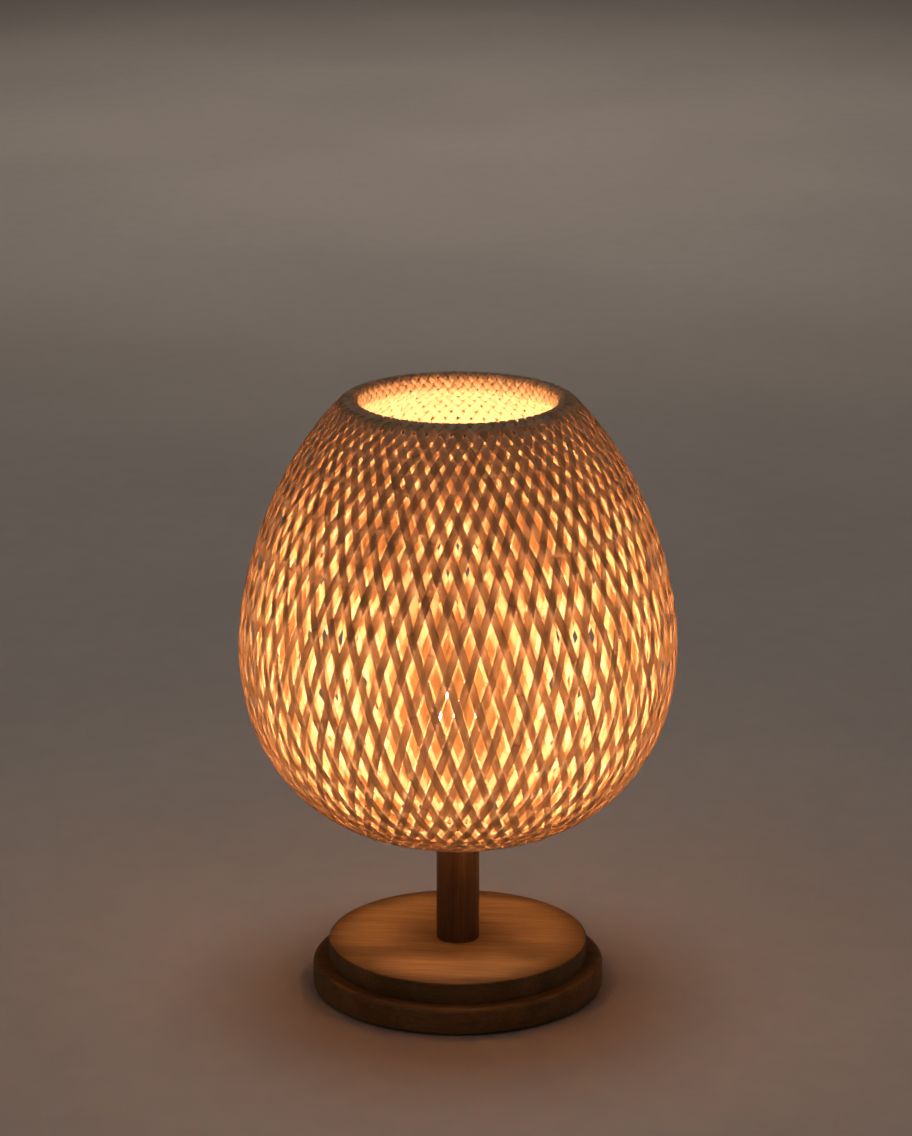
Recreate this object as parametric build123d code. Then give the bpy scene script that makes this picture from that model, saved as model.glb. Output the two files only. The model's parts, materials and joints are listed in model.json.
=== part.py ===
from build123d import *

import os
from math import cos, radians, sin

# A woven bamboo table lamp on a round wooden base. Millimetres, +Z up, and the lamp's axis is Z.
# The origin is on the surface that the lamp stands on. The cord's gland is at the back, on +Y.

# ---- driving dimensions ----

# Base
LOWER_DISC_RADIUS = 90.0
LOWER_DISC_BOTTOM = 1.0
LOWER_DISC_TOP = 17.0
LOWER_DISC_TOP_ROUNDING = 3.0
LOWER_DISC_BOTTOM_ROUNDING = 1.5
UPPER_DISC_RADIUS = 80.0
UPPER_DISC_TOP = 30.0
UPPER_DISC_ROUNDING = 0.8
WIRING_POCKET_RADIUS = 36.0
WIRING_POCKET_TOP = 12.0
COVER_RADIUS = 44.5
COVER_THICKNESS = 1.5
COVER_SCREW_CIRCLE = 40.5
DISC_SCREW_CIRCLE = 60.0
FOOT_RADIUS = 7.0
FOOT_CIRCLE = 74.0
FOOT_THICKNESS = 2.0

# Cord gland
GLAND_HEIGHT = 7.5
GLAND_BORE_RADIUS = 3.1
GLAND_NECK_RADIUS = 3.55
GLAND_FLANGE_RADIUS = 4.9
GLAND_INNER_END = 76.0
GLAND_FLANGE_START = 88.0
GLAND_OUTER_END = 90.3

# Stem, and the M10 tube that clamps the lamp together
STEM_RADIUS = 13.25
STEM_SOCKET_DEPTH = 5.0
STEM_TOP = 109.0
TUBE_RADIUS = 5.0
TUBE_BORE_RADIUS = 4.1
TUBE_BOTTOM = 7.0
WASHER_RADIUS = 12.0
WASHER_THICKNESS = 1.5
NUT_ACROSS_FLATS = 14.0
NUT_THICKNESS = 3.0

# Wiring
WIRE_RADIUS = 1.05
WIRE_SPACING = 1.4
WIRE_HEIGHT = 5.6
TERMINAL_PITCH = 4.0
TERMINAL_FRONT = 18.0
TERMINAL_LENGTH = 13.0

# Carrier that the shade stands on: three arms with feet, and a ring that shields the table from glare
CARRIER_THICKNESS = 2.0
CARRIER_ARM_WIDTH = 8.0
CARRIER_RING_INSIDE = 40.0
CARRIER_STEP_RADIUS = 52.0
CARRIER_FOOT_RADIUS = 60.0
CARRIER_FOOT_TOP = 106.2
ARM_ANGLES = (90.0, 210.0, 330.0)

# E27 lampholder, measured up from its seat on the carrier
HOLDER_SEAT = STEM_TOP + CARRIER_THICKNESS
HOLDER_RADIUS = 19.5
HOLDER_CAP_HEIGHT = 14.0
HOLDER_HEIGHT = 41.0
HOLDER_SHOULDER = 7.0
HOLDER_INSERT_RADIUS = 16.9
SCREW_SLEEVE_RADIUS = 13.7

# E27 bulb with a 45 mm globe, measured up from its centre contact
BULB_SEAT = HOLDER_SEAT + 15.3
BULB_LENGTH = 77.0
GLOBE_RADIUS = 22.5
GLASS_THICKNESS = 0.8
NECK_RADIUS = 12.5
NECK_BOTTOM = 21.0
NECK_TOP = 28.0
FILAMENT_COUNT = 4
FILAMENT_RADIUS = 0.9
FILAMENT_LOW = (8.0, 40.0)
FILAMENT_HIGH = (5.0, 68.0)
FILAMENT_WIRE_RADIUS = 0.35

# Woven shade. Its sleeve is folded over a hoop at the rim and bound round a hoop at the bottom.
WEAVE_THICKNESS = 1.1
BOTTOM_HOOP_CENTRE = (56.0, 110.0)
BOTTOM_BEND_RADIUS = 3.4
BOTTOM_HOOP_RADIUS = 2.2
BOTTOM_SLOPE = 14.0
RIM_CENTRE = (66.3, 367.0)
RIM_BEND_RADIUS = 7.5
RIM_HOOP_RADIUS = 4.0
RIM_NORMAL = 45.0
# Radius and height of the shade's outside between its two hoops
SHADE_OUTLINE = (
    (96.4, 128.1),
    (126.3, 174.2),
    (133.5, 218.0),
    (127.5, 266.0),
    (112.2, 311.0),
    (93.0, 346.0),
)

# The woven walls are made of curved panels with hairline joints: panels round each ring, rings up the
# wall, the joint between panels in degrees, and the joint between rings as a share of the outline.
WALL_PANELS = 12
WALL_BANDS = 8
PANEL_JOINT = 0.02
BAND_JOINT = 0.0001

# Small gap that keeps touching round faces apart
GAP = 0.05


# ---- shape helpers ----


def lathe(*outline):
    """The solid that a closed outline of (radius, height) points turns out about Z."""
    return revolve(make_face(Plane.XZ * Polyline(*outline, close=True)), Axis.Z)


def ring(inner, outer, low, high):
    """A plain ring or, with an inner radius of 0, a disc."""
    return lathe((inner, low), (outer, low), (outer, high), (inner, high))


def rod(start, end, radius):
    """A round bar between two points."""
    start, end = Vector(*start), Vector(*end)
    section = Plane(origin=start, z_dir=end - start) * Circle(radius)
    return extrude(section, amount=(end - start).length)


def polar(radius, degrees, height=0.0):
    """A point on a circle about the lamp's axis."""
    return (radius * cos(radians(degrees)), radius * sin(radians(degrees)), height)


def around(part, angles):
    """Copies of a part turned about the lamp's axis."""
    return [Rot(0, 0, angle) * part for angle in angles]


def countersunk_screw(head_radius, radius, length, clearance=0.0):
    """A wood screw standing on its head, pointing up. Clearance grows it into the hole it needs."""
    head_radius += clearance
    radius += clearance
    head_height = head_radius - radius
    return lathe(
        (0, 0),
        (head_radius, 0),
        (radius, head_height),
        (radius, length - 2 * radius),
        (0.2, length + clearance),
        (0, length + clearance),
    )


def cross_recess(width, depth):
    """The driver's cross in a screw head, seen from below."""
    slot = Box(width, width / 5, depth, align=(Align.CENTER, Align.CENTER, Align.MIN))
    return slot + Rot(0, 0, 90) * slot


# ---- base ----

DISC_SCREW = dict(head_radius=3.8, radius=2.0, length=24.5)
DISC_SCREW_ANGLES = (45.0, 135.0, 225.0, 315.0)
DISC_SCREW_BOTTOM = LOWER_DISC_BOTTOM + 0.8
COVER_SCREW = dict(head_radius=2.6, radius=1.5, length=8.0)
COVER_SCREW_ANGLES = (30.0, 150.0, 270.0)
FOOT_ANGLES = (0.0, 90.0, 180.0, 270.0)


def disc_screws(clearance=0.0):
    """The four screws that hold the two discs together, driven from below."""
    screw = countersunk_screw(clearance=clearance, **DISC_SCREW)
    if not clearance:
        screw -= cross_recess(4.0, 1.6)
    place = Pos(DISC_SCREW_CIRCLE, 0, DISC_SCREW_BOTTOM)
    return around(place * screw, DISC_SCREW_ANGLES)


def cover_screws(clearance=0.0):
    """The three small screws of the bottom cover."""
    screw = countersunk_screw(clearance=clearance, **COVER_SCREW)
    if not clearance:
        screw -= cross_recess(2.8, 1.1)
    return around(Pos(COVER_SCREW_CIRCLE, 0, LOWER_DISC_BOTTOM) * screw, COVER_SCREW_ANGLES)


def foot_pads(clearance=0.0):
    """Felt pads let into the underside."""
    pad = Cylinder(FOOT_RADIUS + clearance, FOOT_THICKNESS, align=(Align.CENTER, Align.CENTER, Align.MIN))
    return around(Pos(FOOT_CIRCLE, 0, 0) * pad, FOOT_ANGLES)


def base_lower_disc():
    disc = ring(0, LOWER_DISC_RADIUS, LOWER_DISC_BOTTOM, LOWER_DISC_TOP)
    edges = disc.edges().filter_by(GeomType.CIRCLE).sort_by(Axis.Z)
    disc = fillet(edges[-1], LOWER_DISC_TOP_ROUNDING)
    edges = disc.edges().filter_by(GeomType.CIRCLE).sort_by(Axis.Z)
    disc = fillet(edges[0], LOWER_DISC_BOTTOM_ROUNDING)
    cover_seat = LOWER_DISC_BOTTOM + COVER_THICKNESS
    disc -= ring(0, COVER_RADIUS + 0.3, LOWER_DISC_BOTTOM - 1, cover_seat)
    disc -= ring(0, WIRING_POCKET_RADIUS, cover_seat - 1, WIRING_POCKET_TOP)
    disc -= ring(0, TUBE_RADIUS + 0.3, WIRING_POCKET_TOP - 1, LOWER_DISC_TOP + 1)
    gland_hole = rod(
        (0, WIRING_POCKET_RADIUS - 4, GLAND_HEIGHT),
        (0, LOWER_DISC_RADIUS + 4, GLAND_HEIGHT),
        GLAND_NECK_RADIUS + GAP,
    )
    gland_seat = rod(
        (0, GLAND_FLANGE_START, GLAND_HEIGHT),
        (0, LOWER_DISC_RADIUS + 4, GLAND_HEIGHT),
        GLAND_FLANGE_RADIUS + 0.1,
    )
    disc -= gland_hole
    disc -= gland_seat
    for cutter in disc_screws(GAP) + cover_screws(GAP) + foot_pads(0.1):
        disc -= cutter
    return disc


def base_upper_disc():
    disc = ring(0, UPPER_DISC_RADIUS, LOWER_DISC_TOP, UPPER_DISC_TOP)
    edges = disc.edges().filter_by(GeomType.CIRCLE).sort_by(Axis.Z)
    disc = fillet(edges[-1], UPPER_DISC_ROUNDING)
    disc -= ring(0, TUBE_RADIUS + 0.3, LOWER_DISC_TOP - 1, UPPER_DISC_TOP + 1)
    disc -= ring(0, STEM_RADIUS + GAP, UPPER_DISC_TOP - STEM_SOCKET_DEPTH, UPPER_DISC_TOP + 1)
    for cutter in disc_screws(GAP):
        disc -= cutter
    return disc


def base_cover():
    """The plate that closes the wiring pocket."""
    cover = ring(0, COVER_RADIUS, LOWER_DISC_BOTTOM, LOWER_DISC_BOTTOM + COVER_THICKNESS)
    for cutter in cover_screws(GAP):
        cover -= cutter
    return cover


def cord_gland():
    """The rubber bush that the cord would come in through."""
    neck = rod((0, GLAND_INNER_END, GLAND_HEIGHT), (0, GLAND_OUTER_END, GLAND_HEIGHT), GLAND_NECK_RADIUS)
    seat = (0, GLAND_FLANGE_START, GLAND_HEIGHT)
    flange = rod(seat, (0, GLAND_OUTER_END, GLAND_HEIGHT), GLAND_FLANGE_RADIUS)
    outer_edge = flange.edges().filter_by(GeomType.CIRCLE).sort_by(Axis.Y)[-1]
    gland = neck + fillet(outer_edge, 0.8)
    return gland - rod(
        (0, GLAND_INNER_END - 1, GLAND_HEIGHT),
        (0, GLAND_OUTER_END + 1, GLAND_HEIGHT),
        GLAND_BORE_RADIUS,
    )


# ---- stem and clamping tube ----


def stem():
    """The bored dowel, seated in the upper disc."""
    low = UPPER_DISC_TOP - STEM_SOCKET_DEPTH
    chamfer_size = 0.6
    return lathe(
        (TUBE_RADIUS + 0.2, low),
        (STEM_RADIUS, low),
        (STEM_RADIUS, STEM_TOP - chamfer_size),
        (STEM_RADIUS - chamfer_size, STEM_TOP),
        (TUBE_RADIUS + 0.2, STEM_TOP),
    )


def threaded_tube():
    return ring(TUBE_BORE_RADIUS, TUBE_RADIUS, TUBE_BOTTOM, HOLDER_SEAT + 5)


def tube_washer():
    return ring(TUBE_RADIUS + 0.2, WASHER_RADIUS, WIRING_POCKET_TOP - WASHER_THICKNESS, WIRING_POCKET_TOP)


def tube_nut():
    top = WIRING_POCKET_TOP - WASHER_THICKNESS
    corner_radius = NUT_ACROSS_FLATS / 2 / cos(radians(30))
    hexagon = Pos(0, 0, top - NUT_THICKNESS) * RegularPolygon(corner_radius, 6)
    bore = ring(0, TUBE_RADIUS + GAP, 0, top + 1)
    return extrude(hexagon, amount=NUT_THICKNESS) - bore


# ---- wiring ----


def terminal_block():
    """A two-pole block on the pocket's ceiling, with its clamp screws facing down."""
    width, low = 18.0, 3.2
    body = Box(
        width,
        TERMINAL_LENGTH,
        WIRING_POCKET_TOP - low - GAP,
        align=(Align.CENTER, Align.MIN, Align.MIN),
    )
    block = Pos(0, TERMINAL_FRONT, low) * body
    block = fillet(block.edges().filter_by(Axis.Z), 1.5)
    back = TERMINAL_FRONT + TERMINAL_LENGTH
    for side in (-1, 1):
        x = side * TERMINAL_PITCH
        block -= rod((x, back - 4, WIRE_HEIGHT), (x, back + 1, WIRE_HEIGHT), 1.3)
        block -= Pos(x, TERMINAL_FRONT + 4, low) * Cylinder(1.9, 2.0)
        block -= Pos(x, back - 4, low) * Cylinder(1.9, 2.0)
    return block


def wire(side):
    """One insulated core, from the terminal block up the tube to the lampholder."""
    top = HOLDER_SEAT + HOLDER_SHOULDER + 2
    route = FilletPolyline(
        (side * TERMINAL_PITCH, TERMINAL_FRONT, WIRE_HEIGHT),
        (side * TERMINAL_PITCH, 12.5, WIRE_HEIGHT),
        (side * WIRE_SPACING, 6.5, WIRE_HEIGHT),
        (side * WIRE_SPACING, 0, WIRE_HEIGHT),
        (side * WIRE_SPACING, 0, top),
        radius=[5.0, 5.0, 2.4],
    )
    section = Plane(origin=route @ 0, z_dir=route % 0) * Circle(WIRE_RADIUS)
    return sweep(section, path=route)


# ---- shade carrier ----


def shade_carrier():
    """A ring on three flat arms, which step down inside the shade's bottom hoop to feet under it."""
    foot_bottom = CARRIER_FOOT_TOP - CARRIER_THICKNESS
    step_inside = CARRIER_STEP_RADIUS - CARRIER_THICKNESS
    profile = Polyline(
        (TUBE_RADIUS + 5, STEM_TOP),
        (step_inside, STEM_TOP),
        (step_inside, foot_bottom),
        (CARRIER_FOOT_RADIUS, foot_bottom),
        (CARRIER_FOOT_RADIUS, CARRIER_FOOT_TOP),
        (CARRIER_STEP_RADIUS, CARRIER_FOOT_TOP),
        (CARRIER_STEP_RADIUS, HOLDER_SEAT),
        (TUBE_RADIUS + 5, HOLDER_SEAT),
        close=True,
    )
    arm = extrude(make_face(Plane.XZ * profile), amount=CARRIER_ARM_WIDTH / 2, both=True)
    carrier = ring(TUBE_RADIUS + 0.1, STEM_RADIUS + 1.5, STEM_TOP, HOLDER_SEAT)
    carrier += ring(CARRIER_RING_INSIDE, CARRIER_STEP_RADIUS, STEM_TOP, HOLDER_SEAT)
    for copy in around(arm, ARM_ANGLES):
        carrier += copy
    return carrier


# ---- lampholder ----


def holder_part(*outline):
    """A turned part of the lampholder, with heights counted from its seat."""
    return Pos(0, 0, HOLDER_SEAT) * lathe(*outline)


LOCK_SCREW_HEIGHT = HOLDER_SEAT + 3.0
LOCK_SCREW_RADIUS = 1.4
TERMINAL_SCREW_OFFSET = 11.3


def holder_cap():
    cap = holder_part(
        (TUBE_RADIUS + GAP, 0),
        (12.0, 0),
        (HOLDER_RADIUS - 2.5, 2.5),
        (HOLDER_RADIUS, HOLDER_SHOULDER),
        (HOLDER_RADIUS, HOLDER_CAP_HEIGHT),
        (17.4, HOLDER_CAP_HEIGHT),
        (17.4, HOLDER_SHOULDER),
        (15.4, HOLDER_SHOULDER),
        (13.9, 3.5),
        (8.5, 3.5),
        (8.5, 6.0),
        (TUBE_RADIUS + GAP, 6.0),
    )
    start = polar(TUBE_RADIUS, 270, LOCK_SCREW_HEIGHT)
    end = polar(HOLDER_RADIUS + 1, 270, LOCK_SCREW_HEIGHT)
    return cap - rod(start, end, LOCK_SCREW_RADIUS + GAP)


def holder_lock_screw():
    """The grub screw that keeps the cap from turning on the tube."""
    inner_end = polar(TUBE_RADIUS + 0.1, 270, LOCK_SCREW_HEIGHT)
    outer_end = polar(12.5, 270, LOCK_SCREW_HEIGHT)
    return rod(inner_end, outer_end, LOCK_SCREW_RADIUS)


def holder_insert():
    """The ceramic disc that holds the contacts and the terminals."""
    low, high = HOLDER_SHOULDER + GAP, 13.0
    insert = holder_part((0, low), (HOLDER_INSERT_RADIUS, low), (HOLDER_INSERT_RADIUS, high), (0, high))
    for side in (-1, 1):
        lead_hole = (side * WIRE_SPACING, 0, HOLDER_SEAT + HOLDER_SHOULDER - 1)
        lead_end = (side * WIRE_SPACING, 0, HOLDER_SEAT + HOLDER_SHOULDER + 2 + GAP)
        insert -= rod(lead_hole, lead_end, WIRE_RADIUS + GAP)
    for screw in holder_terminal_screws(GAP):
        insert -= screw
    return insert


def holder_terminal_screws(clearance=0.0):
    """The two cheese-head screws under the insert."""
    screw = holder_part(
        (0, 5.0),
        (2.6 + clearance, 5.0),
        (2.6 + clearance, HOLDER_SHOULDER),
        (1.45 + clearance, HOLDER_SHOULDER),
        (1.45 + clearance, 11.5 + clearance),
        (0, 11.5 + clearance),
    )
    if not clearance:
        screw -= Pos(0, 0, HOLDER_SEAT + 5.0) * Box(6, 0.8, 1.6)
    return [Pos(side * TERMINAL_SCREW_OFFSET, 0, 0) * screw for side in (-1, 1)]


def holder_shell():
    """The outer skirt, screwed down on the cap with the insert held under its spigot."""
    return holder_part(
        (15.2, 13.1),
        (17.3, 13.1),
        (17.3, HOLDER_CAP_HEIGHT),
        (HOLDER_RADIUS, HOLDER_CAP_HEIGHT),
        (HOLDER_RADIUS, HOLDER_HEIGHT - 4),
        (HOLDER_RADIUS - 1.2, HOLDER_HEIGHT - 0.8),
        (HOLDER_RADIUS - 2.0, HOLDER_HEIGHT),
        (15.6, HOLDER_HEIGHT),
        (15.2, HOLDER_HEIGHT - 0.4),
        (15.2, HOLDER_HEIGHT - 2),
        (16.8, HOLDER_HEIGHT - 4),
        (16.8, HOLDER_CAP_HEIGHT + 1.6),
    )


def holder_screw_sleeve():
    """The thin metal sleeve that the bulb's cap screws into."""
    wall = 0.5
    return holder_part(
        (8.5, 13.0 + GAP),
        (SCREW_SLEEVE_RADIUS + wall, 13.0 + GAP),
        (SCREW_SLEEVE_RADIUS + wall, 36.0),
        (SCREW_SLEEVE_RADIUS, 36.0),
        (SCREW_SLEEVE_RADIUS, 13.0 + GAP + wall),
        (8.5, 13.0 + GAP + wall),
    )


def holder_centre_spring():
    """The bronze tongue under the bulb's centre contact."""
    thickness = 0.4
    base = 13.0 + GAP
    profile = Polyline(
        (-7.0, base),
        (-3.4, base),
        (2.2, 15.0 - thickness),
        (4.2, 14.0),
        (4.2, 14.0 + thickness),
        (2.2, 15.0),
        (-3.6, base + thickness),
        (-7.0, base + thickness),
        close=True,
    )
    tongue = extrude(make_face(Plane.XZ * profile), amount=2.5, both=True)
    return Pos(0, 0, HOLDER_SEAT) * tongue


# ---- bulb ----

GLOBE_CENTRE = BULB_LENGTH - GLOBE_RADIUS
# The globe runs into the neck this far below its equator, in degrees
GLOBE_NECK_ANGLE = 40.0


def bulb_part(*outline):
    """A turned part of the bulb, with heights counted from its centre contact."""
    return Pos(0, 0, BULB_SEAT) * lathe(*outline)


def globe_outline(inset):
    """The bulb's outline from the neck to the crown, moved inwards by inset."""
    radius = GLOBE_RADIUS - inset
    angle = radians(GLOBE_NECK_ANGLE)
    shoulder = (radius * cos(angle), GLOBE_CENTRE - radius * sin(angle))
    neck = Line((NECK_RADIUS - inset, NECK_BOTTOM), (NECK_RADIUS - inset, NECK_TOP))
    flare = Spline(
        (NECK_RADIUS - inset, NECK_TOP),
        shoulder,
        tangents=[(0, 1), (sin(angle), cos(angle))],
    )
    upper = radians((90 - GLOBE_NECK_ANGLE) / 2)
    globe = ThreePointArc(
        shoulder,
        (radius * cos(upper), GLOBE_CENTRE + radius * sin(upper)),
        (0, GLOBE_CENTRE + radius),
    )
    return [neck, flare, globe]


def bulb_glass():
    outside, inside = globe_outline(0), globe_outline(GLASS_THICKNESS)
    foot = Line(outside[0] @ 0, inside[0] @ 0)
    crown = Line(outside[-1] @ 1, inside[-1] @ 1)
    section = make_face(Plane.XZ * Curve(outside + inside + [foot, crown]))
    return Pos(0, 0, BULB_SEAT) * revolve(section, Axis.Z)


def bulb_mount():
    """The glass flare and rod that carry the filaments."""
    return bulb_part(
        (0, 24.0),
        (11.0, 24.0),
        (11.0, 25.2),
        (4.6, 30.0),
        (2.6, 35.0),
        (2.4, 50.0),
        (3.2, 52.0),
        (2.4, 54.0),
        (0, 55.0),
    )


def filament_ends():
    """(low, high) points of each filament, spread evenly round the axis."""
    step = 360 / FILAMENT_COUNT
    for number in range(FILAMENT_COUNT):
        angle = 45 + number * step
        low = polar(FILAMENT_LOW[0], angle, BULB_SEAT + FILAMENT_LOW[1])
        high = polar(FILAMENT_HIGH[0], angle, BULB_SEAT + FILAMENT_HIGH[1])
        yield low, high


def led_filaments():
    return [rod(low, high, FILAMENT_RADIUS) for low, high in filament_ends()]


def filament_wires():
    """Wires from the glass rod to each filament's ends, with the upper ones meeting on the axis."""
    radius = FILAMENT_WIRE_RADIUS
    crown = BULB_SEAT + FILAMENT_HIGH[1] + 1.0
    upper = rod((0, 0, BULB_SEAT + 55.0 + GAP), (0, 0, crown), radius)
    lower = []
    for low, high in filament_ends():
        root_point = (low[0] * 0.34, low[1] * 0.34, BULB_SEAT + 36.0)
        lower.append(rod(root_point, (low[0], low[1], low[2] - 0.4), radius))
        upper += rod((0, 0, crown - radius), (high[0], high[1], high[2] + 0.4), radius)
    return [upper] + lower


def bulb_screw_cap():
    """The thin E27 cap, without its thread's ridges."""
    wall = 0.4
    return bulb_part(
        (5.6, 5.55),
        (9.9, 5.55),
        (13.1, 8.3),
        (13.1, 26.0),
        (13.1 - wall, 26.0),
        (13.1 - wall, 8.5),
        (9.75, 5.55 + wall),
        (5.6, 5.55 + wall),
    )


def bulb_insulator():
    return bulb_part((0, 2.25), (5.4, 2.25), (9.8, 5.5), (0, 5.5))


def bulb_contact():
    return bulb_part((0, 0), (2.6, 0), (4.2, 0.8), (4.6, 2.2), (0, 2.2))


def bulb_driver():
    """The circuit board and capacitor inside the cap."""
    board = Pos(0, 0, BULB_SEAT + 13.5) * Box(17.0, 1.2, 13.0)
    capacitor = Pos(0, 4.6, BULB_SEAT + 13.0) * Cylinder(3.6, 11.0)
    return [board, capacitor]


# ---- shade ----


def rim_point(degrees, radius=RIM_BEND_RADIUS):
    """A point of the rim's round fold, by the direction it faces."""
    angle = radians(degrees)
    return (RIM_CENTRE[0] + radius * cos(angle), RIM_CENTRE[1] + radius * sin(angle))


def bottom_point(degrees, radius=BOTTOM_BEND_RADIUS):
    """A point of the bottom edge's round binding, by the direction it faces."""
    angle = radians(degrees)
    return (BOTTOM_HOOP_CENTRE[0] + radius * cos(angle), BOTTOM_HOOP_CENTRE[1] + radius * sin(angle))


def direction(degrees):
    return (cos(radians(degrees)), sin(radians(degrees)))


OUTSIDE = Spline(
    bottom_point(BOTTOM_SLOPE - 90),
    *SHADE_OUTLINE,
    rim_point(RIM_NORMAL),
    tangents=[direction(BOTTOM_SLOPE), direction(RIM_NORMAL + 90)],
)
BAND_STATIONS = 4


def inset_point(along, insets):
    """A point inside the shade's outline, at a share of its length. The inset changes evenly upwards."""
    inset = insets[0] + (insets[1] - insets[0]) * along
    place, heading = OUTSIDE @ along, OUTSIDE % along
    return (place.X - inset * heading.Y, place.Y + inset * heading.X)


def inset_span(insets, start, end):
    """The stretch of an inset outline between two shares of its length."""
    shares = [start + (end - start) * station / BAND_STATIONS for station in range(BAND_STATIONS + 1)]
    headings = [(heading.X, heading.Y) for heading in (OUTSIDE % start, OUTSIDE % end)]
    return Spline(*[inset_point(share, insets) for share in shares], tangents=headings)


def ring_of_panels(outer, inner):
    """Curved panels round the axis, whose section lies between two outlines."""
    ends = [Line(outer @ 0, inner @ 0), Line(outer @ 1, inner @ 1)]
    section = make_face(Plane.XZ * Curve([outer, inner] + ends))
    step = 360 / WALL_PANELS
    panel = revolve(section, Axis.Z, step - PANEL_JOINT)
    return around(panel, [number * step for number in range(WALL_PANELS)])


def woven_wall(outer_insets, inner_insets):
    """A thin wall between two insets, in bands of panels with hairline joints."""
    panels = []
    for band in range(WALL_BANDS):
        start = band / WALL_BANDS + BAND_JOINT
        end = (band + 1) / WALL_BANDS - BAND_JOINT
        panels += ring_of_panels(inset_span(outer_insets, start, end), inset_span(inner_insets, start, end))
    return panels


def shade_outer_weave():
    return woven_wall((0, 0), (WEAVE_THICKNESS, WEAVE_THICKNESS))


def shade_inner_weave():
    """The lining, which hangs from the rim's fold and closes in on the outer wall at the bottom."""
    gaps = (2 * BOTTOM_BEND_RADIUS, 2 * RIM_BEND_RADIUS)
    return woven_wall([gap - WEAVE_THICKNESS for gap in gaps], gaps)


def half_fold(point, radius, first_degrees):
    """Half a ring of weave, bent round a hoop from one wall to the other."""
    inside = radius - WEAVE_THICKNESS
    angles = [first_degrees, first_degrees + 90, first_degrees + 180]
    outer = ThreePointArc(*[point(angle, radius) for angle in angles])
    inner = ThreePointArc(*[point(angle, inside) for angle in angles])
    return ring_of_panels(outer, inner)


def shade_rim_fold():
    return half_fold(rim_point, RIM_BEND_RADIUS, RIM_NORMAL)


def shade_bottom_binding():
    return half_fold(bottom_point, BOTTOM_BEND_RADIUS, BOTTOM_SLOPE + 90)


def hoop(centre, radius):
    """A round cane hoop."""
    return revolve(Plane.XZ * Pos(*centre) * Circle(radius), Axis.Z)


def rim_hoop():
    """The hoop that the fold hangs over, so it lies against the fold's crown."""
    height = RIM_CENTRE[1] + RIM_BEND_RADIUS - WEAVE_THICKNESS - RIM_HOOP_RADIUS - GAP
    return hoop((RIM_CENTRE[0], height), RIM_HOOP_RADIUS)


def bottom_hoop():
    return hoop(BOTTOM_HOOP_CENTRE, BOTTOM_HOOP_RADIUS)


# ---- every piece, by the name of its node ----

PARTS = {
    "base_lower_disc": base_lower_disc(),
    "base_upper_disc": base_upper_disc(),
    "base_cover": base_cover(),
    "base_cover_screws": cover_screws(),
    "base_disc_screws": disc_screws(),
    "base_felt_feet": foot_pads(),
    "cord_gland": cord_gland(),
    "stem": stem(),
    "threaded_tube": threaded_tube(),
    "tube_washer": tube_washer(),
    "tube_nut": tube_nut(),
    "terminal_block": terminal_block(),
    "live_wire": wire(-1),
    "neutral_wire": wire(1),
    "shade_carrier": shade_carrier(),
    "holder_cap": holder_cap(),
    "holder_lock_screw": holder_lock_screw(),
    "holder_insert": holder_insert(),
    "holder_terminal_screws": holder_terminal_screws(),
    "holder_shell": holder_shell(),
    "holder_screw_sleeve": holder_screw_sleeve(),
    "holder_centre_spring": holder_centre_spring(),
    "bulb_contact": bulb_contact(),
    "bulb_insulator": bulb_insulator(),
    "bulb_screw_cap": bulb_screw_cap(),
    "bulb_driver": bulb_driver(),
    "bulb_mount": bulb_mount(),
    "bulb_filament_wires": filament_wires(),
    "bulb_led_filaments": led_filaments(),
    "bulb_glass": bulb_glass(),
    "shade_outer_weave": shade_outer_weave(),
    "shade_rim_fold": shade_rim_fold(),
    "shade_inner_weave": shade_inner_weave(),
    "shade_bottom_binding": shade_bottom_binding(),
    "shade_rim_hoop": rim_hoop(),
    "shade_bottom_hoop": bottom_hoop(),
}

os.makedirs("parts", exist_ok=True)
for name, part in PARTS.items():
    shape = Compound(children=part) if isinstance(part, list) else part
    export_step(shape, f"parts/{name}.step")
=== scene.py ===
import json
import math
import random

import bpy
import numpy as np
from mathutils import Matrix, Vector


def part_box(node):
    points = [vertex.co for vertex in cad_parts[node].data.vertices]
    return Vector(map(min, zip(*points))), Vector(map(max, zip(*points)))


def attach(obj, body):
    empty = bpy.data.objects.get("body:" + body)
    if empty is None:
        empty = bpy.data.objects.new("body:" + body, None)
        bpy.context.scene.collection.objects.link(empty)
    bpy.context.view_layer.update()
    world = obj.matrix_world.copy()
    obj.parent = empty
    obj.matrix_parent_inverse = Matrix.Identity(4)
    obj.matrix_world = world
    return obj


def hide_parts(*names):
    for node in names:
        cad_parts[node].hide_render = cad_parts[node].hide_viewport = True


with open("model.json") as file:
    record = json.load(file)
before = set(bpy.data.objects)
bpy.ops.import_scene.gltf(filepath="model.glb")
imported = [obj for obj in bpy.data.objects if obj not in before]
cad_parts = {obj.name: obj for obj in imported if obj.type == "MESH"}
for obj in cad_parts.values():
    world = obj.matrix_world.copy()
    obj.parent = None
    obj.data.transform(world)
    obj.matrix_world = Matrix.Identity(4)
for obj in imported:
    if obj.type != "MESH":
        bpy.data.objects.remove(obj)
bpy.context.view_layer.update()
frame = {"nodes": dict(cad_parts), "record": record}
nodes = frame["nodes"]
TURN = 2 * math.pi

# All lengths are in metres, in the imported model's frame.

# ---- the shade's section, as in the CAD ----

BOTTOM_HOOP = np.array((0.0560, 0.1100))
BOTTOM_BEND = 0.0034
BOTTOM_SLOPE = math.radians(14)
RIM_CENTRE = np.array((0.0663, 0.3670))
RIM_BEND = 0.0075
RIM_NORMAL = math.radians(45)
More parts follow.
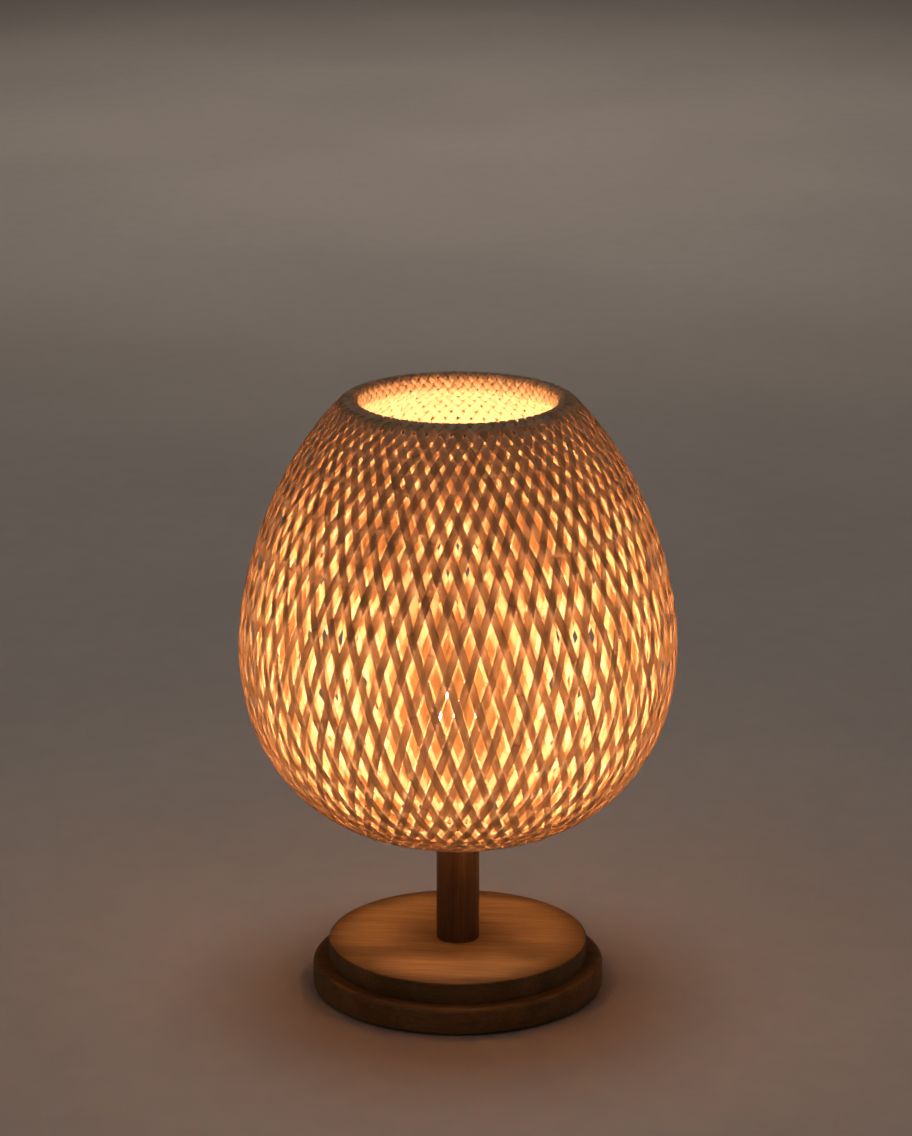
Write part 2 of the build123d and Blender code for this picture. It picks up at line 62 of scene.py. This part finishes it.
# The inner edge of the fold is crisper than the hoop that it goes round
RIM_EDGE = np.array((0.0630, 0.3712))
RIM_EDGE_BEND = 0.0026
SHADE_OUTLINE = (
    (0.0964, 0.1281),
    (0.1263, 0.1742),
    (0.1335, 0.2180),
    (0.1275, 0.2660),
    (0.1122, 0.3110),
    (0.0930, 0.3460),
)

# ---- the weave ----

STRIPS = 62
OUTER_WIDTH = 0.0050
INNER_WIDTH = 0.0063
# Where the shade is narrow, a strip is no wider than this share of its room
WIDEST_SHARE = 0.75
STRIP_THICKNESS = 0.0005
STRIP_BEVEL = 0.0004
# How far a strip stands off the sleeve at a crossing, how squarely it gets there, and how much more it
# does so round the rim
WEAVE_LIFT = 0.00037
WEAVE_SQUARENESS = 2.2
RIM_SWELL = 0.5
RIM_SWELL_REACH = 0.007
# A strip laid flat keeps the product of its radius and the sine of its slant
STRIP_TURNING = 0.0385
# The inner pieces take over from the outer ones this far past the rim's crown
INNER_START = 0.005
LASHING_PITCH = 0.0042
# How much strips differ: in width, in place round the shade, and in how they wander, as shares of their
# room, over waves of these lengths
WIDTH_SPREAD = 0.05
PLACE_SPREAD = 0.020
WANDER = 0.008, 0.020
WANDER_WAVE = 0.06, 0.16

# ---- the bulb's screw thread ----

THREAD_PITCH = 0.003629
THREAD_DEPTH = 0.0009


# ---- small helpers ----


def heading(angle):
    return np.array((math.cos(angle), math.sin(angle)))


def arc(centre, radius, first, last, count):
    angles = np.linspace(first, last, count)[:, None]
    return centre + radius * np.hstack((np.cos(angles), np.sin(angles)))


def smooth_curve(points, first_heading, last_heading, count):
    """A cubic spline through points that starts and ends along the given unit headings."""
    points = np.array(points)
    chords = np.linalg.norm(np.diff(points, axis=0), axis=1)
    size = len(points)
    matrix = np.eye(size)
    right = np.zeros((size, 2))
    right[0] = first_heading
    right[-1] = last_heading
    for k in range(1, size - 1):
        before, after = chords[k - 1], chords[k]
        matrix[k, k - 1 : k + 2] = after, 2 * (before + after), before
        rise = after * (points[k] - points[k - 1]) / before
        rise += before * (points[k + 1] - points[k]) / after
        right[k] = 3 * rise
    slopes = np.linalg.solve(matrix, right)
    spans = []
    for k, chord in enumerate(chords):
        t = np.linspace(0, 1, count, endpoint=k == size - 2)[:, None]
        span = points[k] * (2 * t**3 - 3 * t**2 + 1) + points[k + 1] * (3 * t**2 - 2 * t**3)
        span += chord * (slopes[k] * (t**3 - 2 * t**2 + t) + slopes[k + 1] * (t**3 - t**2))
        spans.append(span)
    return np.concatenate(spans)


def unit_steps(path):
    steps = np.gradient(path, axis=0)
    return steps / np.linalg.norm(steps, axis=1)[:, None]


def add_piece(name, points, faces, body, slot, material, replaced, sharp_degrees=35.0):
    """A mesh that rides on a body and stands for some CAD nodes."""
    mesh = bpy.data.meshes.new(name)
    mesh.from_pydata(points, [], faces)
    mesh.polygons.foreach_set("use_smooth", [True] * len(mesh.polygons))
    mesh.set_sharp_from_angle(angle=math.radians(sharp_degrees))
    mesh.materials.append(material)
    piece = bpy.data.objects.new(name, mesh)
    bpy.context.collection.objects.link(piece)
    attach(piece, body)
    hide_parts(*replaced)
    return piece


class Tubes:
    """Gathers closed strips and rods, each a run of rings of points, into one mesh."""

    def __init__(self):
        self.points = []
        self.faces = []
        self.uvs = []
        self.tones = []

    def add(self, rings, around, along, tone, closed=False):
        """Rings has a row of corners for each station. Around and along place them on the surface."""
        stations, corners = rings.shape[:2]
        base = len(self.points)
        self.points += rings.reshape(-1, 3).tolist()
        self.tones += [tone] * (stations * corners)
        for step in range(stations if closed else stations - 1):
            after_step = (step + 1) % stations
            for corner in range(corners):
                after = (corner + 1) % corners
                face = ((step, corner), (after_step, corner), (after_step, after), (step, after))
                self.faces.append([base + row * corners + column for row, column in face])
                self.uvs += [(around[column], along[row]) for row, column in face]
        if not closed:
            for step, order in ((0, 1), (stations - 1, -1)):
                columns = list(range(corners))[::order]
                self.faces.append([base + step * corners + column for column in columns])
                self.uvs += [(around[column], along[step]) for column in columns]

    def piece(self, *rest):
        piece = add_piece(rest[0], self.points, self.faces, *rest[1:])
        layer = piece.data.uv_layers.new(name="strip")
        layer.data.foreach_set("uv", np.array(self.uvs, np.float32).ravel())
        tones = piece.data.attributes.new("tone", "FLOAT", "POINT")
        tones.data.foreach_set("value", np.array(self.tones, np.float32))
        return piece


# ---- the woven sleeve ----


class Sleeve:
    """The sleeve's section: up the outside from the bottom, over the rim and down the inside.

    A place on it is a length from its start. Each has a radius, a height, a direction out of the weave,
    how much the weave swells, the slant of the strips there, the room that each has across, and the
    angle that a strip has turned through on its way there.
    """

    def __init__(self):
        depth = WEAVE_LIFT + STRIP_THICKNESS / 2
        foot = BOTTOM_HOOP + BOTTOM_BEND * heading(BOTTOM_SLOPE - math.pi / 2)
        top = RIM_CENTRE + RIM_BEND * heading(RIM_NORMAL)
        outline = [foot, *SHADE_OUTLINE, top]
        outside = smooth_curve(outline, heading(BOTTOM_SLOPE), heading(RIM_NORMAL + math.pi / 2), 40)
        steps = unit_steps(outside)
        inwards = np.stack((-steps[:, 1], steps[:, 0]), axis=1)
        share = np.linspace(0, 1, len(outside))[:, None]
        gap = 2 * (BOTTOM_BEND + (RIM_BEND - BOTTOM_BEND) * share)
        top_arc = arc(RIM_CENTRE, RIM_BEND - depth, RIM_NORMAL, math.pi / 2, 3)
        edge = arc(RIM_EDGE, RIM_EDGE_BEND, math.radians(100), math.radians(180), 5)
        end = RIM_CENTRE - (RIM_BEND - depth) * heading(RIM_NORMAL)
        turns = heading(RIM_NORMAL + math.pi / 2), -heading(RIM_NORMAL + math.pi / 2)
        fold = smooth_curve([*top_arc, *edge, end], *turns, 12)
        inside = outside + inwards * (gap - depth)
        path = np.concatenate((outside + inwards * depth, fold[1:-1], inside[::-1]))
        length = np.concatenate(([0], np.cumsum(np.linalg.norm(np.diff(path, axis=0), axis=1))))
        self.length = np.linspace(0, length[-1], 2400)
        self.radius = np.interp(self.length, length, path[:, 0])
        self.height = np.interp(self.length, length, path[:, 1])
        self.crown = self.length[self.height.argmax()]
        self.swell = 1 + RIM_SWELL * np.exp(-(((self.length - self.crown) / RIM_SWELL_REACH) ** 2))
        along = unit_steps(np.stack((self.radius, self.height), axis=1))
        self.out = along[:, 1], -along[:, 0]
        self.slant = np.arcsin(STRIP_TURNING / self.radius)
        self.room = TURN * self.radius / STRIPS * np.cos(self.slant)
        rate = np.tan(self.slant) / self.radius
        middles = (rate[1:] + rate[:-1]) / 2 * np.diff(self.length)
        self.turned = np.concatenate(([0], np.cumsum(middles)))

    def at(self, values, length):
        return np.interp(length, self.length, values)


SLEEVE = Sleeve()


def strip_section(width):
    """(across, out) corners of a strip, flat with bevelled edges.

    Width is one number, or an array with one for each station.
    """
    half, thick = width / 2, STRIP_THICKNESS / 2
    flat = half - STRIP_BEVEL
    return [(-half, 0), (-flat, thick), (flat, thick), (half, 0), (flat, -thick), (-flat, -thick)]


def strip_rings(number, turning, length, widest, chance):
    """A strip's rings of corners, with the places of the corners across it and of the rings along it."""
    room = SLEEVE.at(SLEEVE.room, length)
    width = np.minimum(widest, WIDEST_SHARE * room) * chance.uniform(1 - WIDTH_SPREAD, 1 + WIDTH_SPREAD)
    start = TURN * (number + chance.gauss(0, PLACE_SPREAD)) / STRIPS
    drift = np.zeros(len(length))
    for _ in range(2):
        size, wave = chance.uniform(*WANDER), chance.uniform(*WANDER_WAVE)
        drift += size * room * np.sin(TURN * (length / wave + chance.random()))
    slant = SLEEVE.at(SLEEVE.slant, length)
    corners = strip_section(width)
    rings = []
    for across, out in corners:
        side = across + drift
        here = length - turning * np.sin(slant) * side
        radius = SLEEVE.at(SLEEVE.radius, here)
        angle = start + turning * SLEEVE.at(SLEEVE.turned, length) + np.cos(slant) * side / radius
        # The strips that turn the other way cross this one wherever their count is a whole number
        count = STRIPS * (angle + turning * SLEEVE.at(SLEEVE.turned, here)) / TURN
        wave = np.tanh(WEAVE_SQUARENESS * np.cos(math.pi * (count - number))) / math.tanh(WEAVE_SQUARENESS)
        lift = turning * WEAVE_LIFT * SLEEVE.at(SLEEVE.swell, here) * wave + out
        out_radius, out_height = (SLEEVE.at(values, here) for values in SLEEVE.out)
        radius = radius + lift * out_radius
        height = SLEEVE.at(SLEEVE.height, here) + lift * out_height
        rings.append(np.stack((radius * np.cos(angle), radius * np.sin(angle), height), axis=1))
    travelled = np.concatenate(([0], np.cumsum(np.diff(length) / np.cos(slant[1:]))))
    return np.stack(rings, axis=1), [across for across, _ in strip_section(widest)], travelled


def weave_piece(name, turning, first, last, widest, stations_per_row, slot, material, replaced):
    """All the strips that turn one way, between two places on the sleeve, as one piece."""
    chance = random.Random(10 + turning)
    turned = SLEEVE.at(SLEEVE.turned, [first, last])
    steps = round((turned[1] - turned[0]) * STRIPS / math.pi * stations_per_row)
    length = np.interp(np.linspace(*turned, steps + 1), SLEEVE.turned, SLEEVE.length)
    tubes = Tubes()
    for number in range(STRIPS):
        tone = chance.random()
        tubes.add(*strip_rings(number, turning, length, widest, chance), tone)
    return tubes.piece(name, "shade", slot, material, replaced)


def lashing_piece(material):
    """A strip wound round the bottom hoop, which binds the sleeve's two edges."""
    chance = random.Random(3)
    tubes = Tubes()
    turns = round(TURN * BOTTOM_HOOP[0] / LASHING_PITCH)
    bend = BOTTOM_BEND - STRIP_THICKNESS / 2 - 0.0001
    for number in range(turns):
        angles = np.linspace(0, TURN, 28, endpoint=False)
        lean = np.sin(angles / 2) * LASHING_PITCH
        corners = strip_section(LASHING_PITCH * chance.uniform(0.86, 0.98))
        rings = []
        for across, out in corners:
            reach = BOTTOM_HOOP[0] + (bend + out) * np.cos(angles)
            turned = TURN * number / turns + (across + lean) / BOTTOM_HOOP[0]
            height = BOTTOM_HOOP[1] + (bend + out) * np.sin(angles)
            rings.append(np.stack((reach * np.cos(turned), reach * np.sin(turned), height), axis=1))
        places = [across for across, _ in corners]
        tubes.add(np.stack(rings, axis=1), places, angles * bend, chance.random(), closed=True)
    return tubes.piece("shade_bottom_lashing", "shade", "bamboo_rim", material, ("shade_bottom_binding",))


def screw_cap_piece(material):
    """The bulb's cap, with its thread rolled into the sheet."""
    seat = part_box("bulb_contact")[0].z
    wall, radius = 0.0004, 0.0131
    outline = [(0.0056, 0.00555), (0.0099, 0.00555), (0.0122, 0.0078)]
    top = 0.026
    levels = np.linspace(0.0083, top, 74)
    columns = 96
    angles = np.linspace(0, TURN, columns, endpoint=False)
    rows = []
    for reach, level in outline:
        rows.append((np.full(columns, reach), level))
    for level in levels:
        fade = min(1, (level - levels[0]) / 0.002, max(0, (top - 0.0015 - level) / 0.002))
        wave = 0.5 - 0.5 * np.cos(TURN * level / THREAD_PITCH - angles)
        rows.append((radius - THREAD_DEPTH * fade * wave - 0.0002 * (1 - fade), level))
    rows += [(reach - wall, level) for reach, level in rows[::-1]]
    points = []
    for reach, level in rows:
        places = reach * np.cos(angles), reach * np.sin(angles), np.full(columns, seat + level)
        points += np.stack(places, axis=1).tolist()
    faces = []
    for row in range(len(rows)):
        above = (row + 1) % len(rows)
        for column in range(columns):
            after = (column + 1) % columns
            corners = ((row, column), (row, after), (above, after), (above, column))
            faces.append([r * columns + c for r, c in corners])
    add_piece("bulb_screw_thread", points, faces, "bulb", "nickel_cap", material, ("bulb_screw_cap",), 60)


# ---- materials ----


class Look:
    """One material, with short calls for building its nodes."""

    def __init__(self, name, **values):
        self.material = bpy.data.materials.new(name)
        self.material.use_nodes = True
        self.tree = self.material.node_tree
        self.shader = self.tree.nodes["Principled BSDF"]
        self.output = self.tree.nodes["Material Output"]
        for socket, value in values.items():
            self.shader.inputs[socket.replace("_", " ")].default_value = value

    def feed(self, socket, value):
        """Sets a socket to a plain value, or links it to another node's output."""
        if isinstance(value, bpy.types.NodeSocket):
            self.tree.links.new(value, socket)
        else:
            socket.default_value = value

    def node(self, kind, links, **settings):
        made = self.tree.nodes.new(f"ShaderNode{kind}")
        for name, value in settings.items():
            setattr(made, name, value)
        for socket, value in links.items():
            self.feed(made.inputs[socket], value)
        return made

    def shade(self, socket, value):
        self.feed(self.shader.inputs[socket], value)

    def place(self):
        return self.node("TexCoord", {}).outputs["Object"]

    def noise(self, place, scale, detail=3.0):
        """Smooth noise. Scale is in features per metre, one number or three."""
        if isinstance(scale, tuple):
            place = self.node("Mapping", {"Vector": place, "Scale": scale}).outputs["Vector"]
            scale = 1.0
        return self.node("TexNoise", {"Vector": place, "Scale": scale, "Detail": detail}).outputs["Fac"]

    def ramp(self, value, *stops):
        """A colour ramp of (place, colour) stops."""
        ramp = self.node("ValToRGB", {"Fac": value})
        while len(ramp.color_ramp.elements) < len(stops):
            ramp.color_ramp.elements.new(0.5)
        for element, (place, colour) in zip(ramp.color_ramp.elements, stops):
            element.position = place
            element.color = (*colour, 1)
        return ramp.outputs["Color"]

    def window(self, value, low, high, first=0.0, last=1.0):
        """First where value is under low, last where it is over high, and smooth between."""
        links = {"Value": value, "From Min": low, "From Max": high, "To Min": first, "To Max": last}
        return self.node("MapRange", links, interpolation_type="SMOOTHSTEP").outputs["Result"]

    def maths(self, operation, first, second=0.0):
        return self.node("Math", {0: first, 1: second}, operation=operation).outputs["Value"]

    def darken(self, colour, *shares):
        """The colour times some numbers."""
        for share in shares:
            grey = self.node("CombineColor", {0: share, 1: share, 2: share}).outputs["Color"]
            links = {"Factor": 1.0, 6: colour, 7: grey}
            colour = self.node("Mix", links, data_type="RGBA", blend_type="MULTIPLY").outputs[2]
        return colour

    def bump(self, height, distance):
        bump = self.node("Bump", {"Height": height, "Distance": distance, "Strength": 1.0})
        self.shade("Normal", bump.outputs["Normal"])


def wood_look(name, along, dark, light, turn=0.0):
    """A close-grained hardwood, with its grain along one axis (0, 1 or 2)."""
    look = Look(name, Specular_IOR_Level=0.35)
    place = look.node("Mapping", {"Vector": look.place(), "Rotation": (0, 0, turn)}).outputs["Vector"]

    def grain(across, lengthwise, detail):
        scale = [across] * 3
        scale[along] = lengthwise
        return look.noise(place, tuple(scale), detail)

    fibres = grain(900, 30, 4.0)
    pores = look.window(grain(2200, 130, 2.0), 0.60, 0.74)
    colour = look.ramp(grain(75, 4, 2.5), (0.34, dark), (0.66, light))
    streaks = look.window(fibres, 0.32, 0.68, 0.80, 1.10)
    clear = look.maths("SUBTRACT", 1.0, look.maths("MULTIPLY", pores, 0.35))
    look.shade("Base Color", look.darken(colour, streaks, clear))
    look.shade("Roughness", look.window(fibres, 0.3, 0.7, 0.62, 0.48))
    look.bump(look.maths("SUBTRACT", fibres, pores), 0.00010)
    return look.material


def bamboo_look(name, dark, light, through, lit):
    """Split bamboo. A share of the light goes through it and comes out in the lit colour."""
    look = Look(name, Specular_IOR_Level=0.4)
    strip = look.node("UVMap", {}, uv_map="strip").outputs["UV"]
    tone = look.node("Attribute", {}, attribute_name="tone").outputs["Fac"]
    shift = look.node("CombineXYZ", {"Z": look.maths("MULTIPLY", tone, 50.0)}).outputs["Vector"]
    place = look.node("VectorMath", {0: strip, 1: shift}, operation="ADD").outputs["Vector"]
    fibres = look.noise(place, (4200, 60, 1))
    patches = look.noise(place, (220, 40, 1))
    along = look.node("SeparateXYZ", {"Vector": strip}).outputs["Y"]
    joint = look.maths("PINGPONG", look.maths("ADD", along, tone), 0.13)
    joint = look.window(joint, 0.0003, 0.0014, 0.80, 1.0)
    fibre_share = look.window(fibres, 0.3, 0.7, 0.88, 1.06)
    shares = fibre_share, look.window(patches, 0.3, 0.7, 0.90, 1.06), joint
    look.shade("Base Color", look.darken(look.ramp(tone, (0.0, dark), (1.0, light)), *shares))
    look.shade("Roughness", look.window(fibres, 0.3, 0.7, 0.56, 0.40))
    look.bump(fibres, 0.00007)
    behind = look.darken((*lit, 1), look.window(tone, 0.0, 1.0, 0.88, 1.0), *shares)
    behind = look.node("BsdfTranslucent", {"Color": behind}).outputs["BSDF"]
    both = look.node("MixShader", {"Fac": through, 1: look.shader.outputs["BSDF"], 2: behind})
    look.feed(look.output.inputs["Surface"], both.outputs["Shader"])
    return look.material


def fine_look(name, colour, roughness, grain=1500.0, depth=0.00002, spread=0.10, **values):
    """A plain finish whose colour, gloss and surface vary a little at a fine scale."""
    look = Look(name, **values)
    place = look.place()
    fine = look.noise(place, grain, 4.0)
    broad = look.noise(place, grain / 15)
    shares = look.window(fine, 0.3, 0.7, 1 - spread, 1.0), look.window(broad, 0.3, 0.7, 1 - spread, 1.0)
    look.shade("Base Color", look.darken((*colour, 1), *shares))
    look.shade("Roughness", look.window(broad, 0.3, 0.7, roughness * 0.85, min(1, roughness * 1.15)))
    look.bump(fine, depth)
    return look.material


def glass_look(name, colour, roughness):
    """Blown glass with faint waves."""
    look = Look(name, Base_Color=(*colour, 1), Roughness=roughness, IOR=1.47, Transmission_Weight=1.0)
    look.bump(look.noise(look.place(), 140, 1.0), 0.00008)
    return look.material


def phosphor_look():
    """The yellow coat of an LED filament, brighter where the chips are."""
    colours = {"Base_Color": (1.0, 0.70, 0.28, 1), "Emission_Color": (1.0, 0.72, 0.36, 1)}
    look = Look("led_phosphor", Roughness=0.5, **colours)
    height = look.node("SeparateXYZ", {"Vector": look.place()}).outputs["Z"]
    chips = look.window(look.maths("PINGPONG", height, 0.0005), 0.0, 0.0005, 60.0, 110.0)
    look.shade("Emission Strength", chips)
    return look.material


# ---- the pieces ----

bamboo_outer = bamboo_look("bamboo_outer", (0.52, 0.36, 0.21), (0.74, 0.53, 0.33), 0.53, (0.94, 0.84, 0.72))
bamboo_inner = bamboo_look("bamboo_inner", (0.86, 0.74, 0.56), (0.94, 0.84, 0.66), 0.6, (1.00, 0.88, 0.72))
inner_start = SLEEVE.crown + INNER_START
inner_end = SLEEVE.length[-1]
for turning, side in ((1, "left"), (-1, "right")):
    weave_piece(
        f"shade_outer_strips_{side}",
        turning,
        0,
        inner_start,
        OUTER_WIDTH,
        7,
        "bamboo_outer",
        bamboo_outer,
        ("shade_outer_weave", "shade_rim_fold"),
    )
    weave_piece(
        f"shade_inner_strips_{side}",
        turning,
        inner_start,
        inner_end,
        INNER_WIDTH,
        5,
        "bamboo_inner",
        bamboo_inner,
        ("shade_inner_weave",),
    )
lashing_piece(bamboo_outer)

zinc = fine_look("zinc_plate", (0.72, 0.72, 0.70), 0.35, 2500, Metallic=1.0)
nickel = fine_look("nickel_plate", (0.78, 0.77, 0.74), 0.22, 900, 0.00001, 0.06, Metallic=1.0)
looks = {
    "base_wood": wood_look("base_wood", 0, (0.20, 0.105, 0.034), (0.29, 0.160, 0.058), 0.08),
    "stem_wood": wood_look("stem_wood", 2, (0.11, 0.056, 0.022), (0.17, 0.092, 0.040)),
    "bamboo_rim": bamboo_outer,
    "cane_hoop": wood_look("cane", 1, (0.42, 0.27, 0.14), (0.62, 0.44, 0.25)),
    "fibreboard": fine_look("fibreboard", (0.26, 0.17, 0.10), 0.8, 1800, 0.00006, 0.35),
    "felt": fine_look("felt", (0.10, 0.09, 0.08), 0.95, 2600, 0.0003, 0.5, Sheen_Weight=0.5),
    "black_rubber": fine_look("black_rubber", (0.025, 0.025, 0.025), 0.6, 1400),
    "zinc_screw": zinc,
    "zinc_tube": fine_look("yellow_zinc", (0.75, 0.70, 0.55), 0.3, 1200, Metallic=1.0),
    "terminal_plastic": fine_look("nylon", (0.85, 0.84, 0.80), 0.45, Subsurface_Weight=0.1),
    "brown_insulation": fine_look("brown_insulation", (0.22, 0.09, 0.04), 0.4),
    "blue_insulation": fine_look("blue_insulation", (0.05, 0.17, 0.52), 0.4),
    "carrier_paint": fine_look("powder_coat", (0.78, 0.74, 0.66), 0.5, 1600, 0.00006, 0.08),
    "holder_plastic": fine_look("ivory_plastic", (0.84, 0.80, 0.72), 0.3, 500, 0.00002, 0.06),
    "white_ceramic": fine_look("steatite", (0.88, 0.87, 0.83), 0.6, 1200, 0.00003, 0.08),
    "brass_contact": fine_look("brass", (0.78, 0.58, 0.28), 0.28, 1500, Metallic=1.0),
    "solder": fine_look("solder", (0.62, 0.62, 0.62), 0.3, 600, 0.00008, Metallic=1.0),
    "black_glass": fine_look("black_glass", (0.02, 0.02, 0.03), 0.12, 600, 0.00003),
    "nickel_cap": nickel,
    "circuit_board": fine_look("circuit_board", (0.05, 0.20, 0.09), 0.4, 1200, 0.00004, 0.3),
    "mount_glass": glass_look("mount_glass", (0.95, 0.97, 0.96), 0.05),
    "support_wire": fine_look("support_wire", (0.70, 0.69, 0.66), 0.3, Metallic=1.0),
    "led_phosphor": phosphor_look(),
    "clear_glass": glass_look("clear_glass", (1.0, 0.98, 0.95), 0.0),
}
screw_cap_piece(nickel)
for part in frame["record"]["subparts"]:
    if part["material_slot"] in looks:
        nodes[part["node"]].data.materials.clear()
        nodes[part["node"]].data.materials.append(looks[part["material_slot"]])
for name in ("bulb_glass", "bulb_mount"):
    nodes[name].visible_shadow = False


# ---- light, floor and camera ----

CAMERA_PLACE = (-0.0012, -2.338, 0.951)
CAMERA_PITCH = math.radians(16.28)
LENS_MM = 127.4
LAMP_MIDDLE = (0, 0, 0.18)
BULB_CENTRE = 0.180
BULB_COLOUR = (1.0, 0.50, 0.24)
CORE_COLOUR = (1.0, 0.84, 0.60)
FLOOR_REACH = 30.0


def add_light(kind, name, place, power, colour, size, target=None):
    data = bpy.data.lights.new(name, kind)
    data.energy = power
    data.color = colour
    light = bpy.data.objects.new(name, data)
    light.location = place
    if kind == "AREA":
        data.shape = "DISK"
        data.size = size
        light.rotation_euler = (Vector(target) - Vector(place)).to_track_quat("-Z", "Y").to_euler()
    else:
        data.shadow_soft_size = size
    bpy.context.collection.objects.link(light)
    return light


# The bulb's own light, its bright core that shows through the weave, and light bounced about in the shade
# and down through its open bottom. Power is in watts.
bulb_light = add_light(
    "POINT",
    "bulb_light",
    place=(0, 0, BULB_CENTRE + 0.012),
    power=1.35,
    colour=BULB_COLOUR,
    size=0.018,
)
core = add_light(
    "POINT",
    "bulb_core",
    place=(0, 0, BULB_CENTRE),
    power=0.5,
    colour=CORE_COLOUR,
    size=0.019,
)
glow = add_light(
    "POINT",
    "shade_glow",
    place=(0, 0, 0.262),
    power=1.15,
    colour=BULB_COLOUR,
    size=0.036,
)
spill = add_light(
    "AREA",
    "shade_spill",
    place=(0, 0, 0.103),
    power=0.009,
    colour=BULB_COLOUR,
    size=0.10,
    target=(0, 0, 0),
)
for light in (bulb_light, core, glow, spill):
    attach(light, "bulb")
for light in (bulb_light, glow, spill):
    light.visible_camera = False

# The studio: a lamp overhead, one on each side in front, and one that lifts the floor behind
add_light(
    "AREA",
    "overhead",
    place=(0, 0.3, 2.4),
    power=9.0,
    colour=(1.0, 0.90, 0.84),
    size=1.2,
    target=(0, 0.3, 0),
)
add_light(
    "AREA",
    "key",
    place=(-1.8, -1.4, 2.0),
    power=1.5,
    colour=(1.0, 0.92, 0.86),
    size=1.6,
    target=LAMP_MIDDLE,
)
add_light(
    "AREA",
    "fill",
    place=(2.2, -1.2, 1.6),
    power=0.7,
    colour=(0.92, 0.93, 1.0),
    size=1.6,
    target=LAMP_MIDDLE,
)
backdrop = add_light(
    "AREA",
    "backdrop",
    place=(0, 3.0, 2.2),
    power=5.0,
    colour=(1.0, 0.88, 0.80),
    size=2.6,
    target=(0, 3.0, 0),
)
backdrop.data.spread = math.radians(70)

floor_mesh = bpy.data.meshes.new("floor")
corners = [(x * FLOOR_REACH, y * FLOOR_REACH, 0) for x, y in ((-1, -1), (1, -1), (1, 1), (-1, 1))]
floor_mesh.from_pydata(corners, [], [(0, 1, 2, 3)])
floor_mesh.materials.append(fine_look("floor", (0.66, 0.60, 0.54), 0.7, 40.0, 0.0, 0.04))
floor = bpy.data.objects.new("floor", floor_mesh)
bpy.context.collection.objects.link(floor)

scene = bpy.context.scene
scene.view_settings.view_transform = "Standard"
world = bpy.data.worlds.new("world")
scene.world = world
world.use_nodes = True
background = world.node_tree.nodes["Background"]
background.inputs["Color"].default_value = (1.0, 0.90, 0.84, 1)
background.inputs["Strength"].default_value = 0.03

camera = bpy.data.objects.new("camera", bpy.data.cameras.new("camera"))
camera.data.lens = LENS_MM
camera.location = CAMERA_PLACE
camera.rotation_euler = (math.pi / 2 - CAMERA_PITCH, 0, 0)
bpy.context.collection.objects.link(camera)
scene.camera = camera
